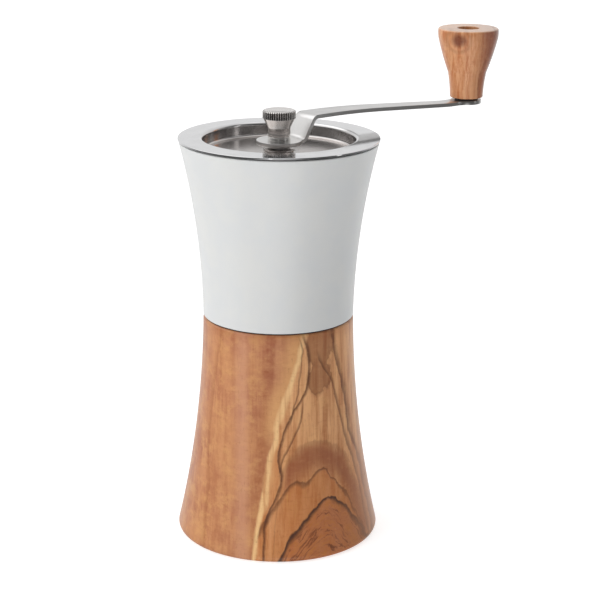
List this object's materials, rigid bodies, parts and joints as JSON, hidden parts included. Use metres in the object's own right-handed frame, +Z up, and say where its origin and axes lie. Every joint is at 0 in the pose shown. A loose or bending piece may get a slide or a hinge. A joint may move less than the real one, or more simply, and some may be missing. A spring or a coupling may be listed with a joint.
{
  "type": "hand crank coffee grinder",
  "caption": "Waisted hand crank coffee grinder: turned wooden grounds container, white hopper shell, dished steel lid, bent steel crank with a turned wooden knob.",
  "frame": {"origin": "centre of the base underside, on the shaft axis", "axes": "+Z up along the shaft, +X along the crank arm at rest"},
  "size_m": [0.1628, 0.087, 0.2101],
  "materials": {
    "olive_wood": "oiled olive wood with dark veins",
    "knob_wood": "oiled olive wood, plain grain",
    "white_shell": "smooth white, satin gloss",
    "white_liner": "moulded white, matt",
    "black_nylon": "moulded black, matt",
    "seal_rubber": "soft dark grey",
    "burr_ceramic": "unglazed white ceramic",
    "polished_steel": "polished stainless steel",
    "satin_steel": "fine satin stainless steel",
    "plain_steel": "turned stainless steel",
    "bush_brass": "turned brass"
  },
  "bodies": {
    "base": {"base_cup": "olive_wood", "thread_insert": "black_nylon"},
    "seal": {"seam_gasket": "seal_rubber"},
    "upper_body": {"upper_shell": "white_shell", "burr_housing": "black_nylon", "outer_burr": "burr_ceramic", "hopper_liner": "white_liner", "bearing_bridge": "black_nylon", "upper_bush": "bush_brass", "lower_bush": "bush_brass", "housing_screws": "plain_steel"},
    "shaft": {"drive_shaft": "plain_steel", "thrust_washer": "plain_steel", "retaining_clip": "plain_steel", "spring_washer": "plain_steel", "burr_spring": "plain_steel"},
    "burr_carrier": {"inner_burr": "burr_ceramic", "click_washer": "plain_steel"},
    "dial": {"adjust_dial": "black_nylon", "dial_nut": "bush_brass"},
    "lid": {"hopper_lid": "polished_steel", "lid_grommet": "polished_steel"},
    "crank": {"arm_hub": "satin_steel", "crank_arm": "satin_steel", "knob_axle": "plain_steel", "knob_washer": "seal_rubber"},
    "screw_washer": {"thumb_washer": "satin_steel"},
    "thumb_screw_body": {"thumb_screw": "satin_steel"},
    "knob_body": {"knob": "knob_wood", "knob_sleeve": "bush_brass"}
  },
  "joints": [
    {"name": "container_lift", "type": "slide", "parent": "base", "child": "seal", "axis": [0, 0, 1], "range_m": [0, 0.0075]},
    {"name": "container_unscrew", "type": "hinge", "parent": "seal", "child": "upper_body", "pos_m": [0, 0, 0], "axis": [0, 0, 1], "range_deg": [0, 600]},
    {"name": "crank_spin", "type": "hinge", "parent": "upper_body", "child": "shaft", "pos_m": [0, 0, 0], "axis": [0, 0, 1], "continuous": true},
    {"name": "crank_lift", "type": "slide", "parent": "shaft", "child": "crank", "axis": [0, 0, 1], "range_m": [0, 0.04]},
    {"name": "lid_lift", "type": "slide", "parent": "upper_body", "child": "lid", "axis": [0, 0, 1], "range_m": [0, 0.04]},
    {"name": "thumb_screw_lift", "type": "slide", "parent": "crank", "child": "screw_washer", "axis": [0, 0, 1], "range_m": [0, 0.00768]},
    {"name": "thumb_screw_turn", "type": "hinge", "parent": "screw_washer", "child": "thumb_screw_body", "pos_m": [0, 0, 0], "axis": [0, 0, 1], "range_deg": [0, 3456]},
    {"name": "knob_spin", "type": "hinge", "parent": "crank", "child": "knob_body", "pos_m": [0.1058, 0, 0.19], "axis": [0, 0, 1], "continuous": true},
    {"name": "burr_shift", "type": "slide", "parent": "shaft", "child": "burr_carrier", "axis": [0, 0, -1], "range_m": [-0.0004, 0.0012], "deforming": ["burr_spring"]},
    {"name": "grind_dial_turn", "type": "hinge", "parent": "burr_carrier", "child": "dial", "pos_m": [0, 0, 0], "axis": [0, 0, -1], "range_deg": [-180, 540]}
  ],
  "couplings": [
    {"joint": "container_lift", "follows": "container_unscrew", "m_per_rad": 0.0007162},
    {"joint": "thumb_screw_lift", "follows": "thumb_screw_turn", "m_per_rad": 0.00012732},
    {"joint": "grind_dial_turn", "follows": "burr_shift", "rad_per_m": 7854},
    {"joint": "lid_lift", "follows": "crank_lift", "ratio": 1}
  ]
}
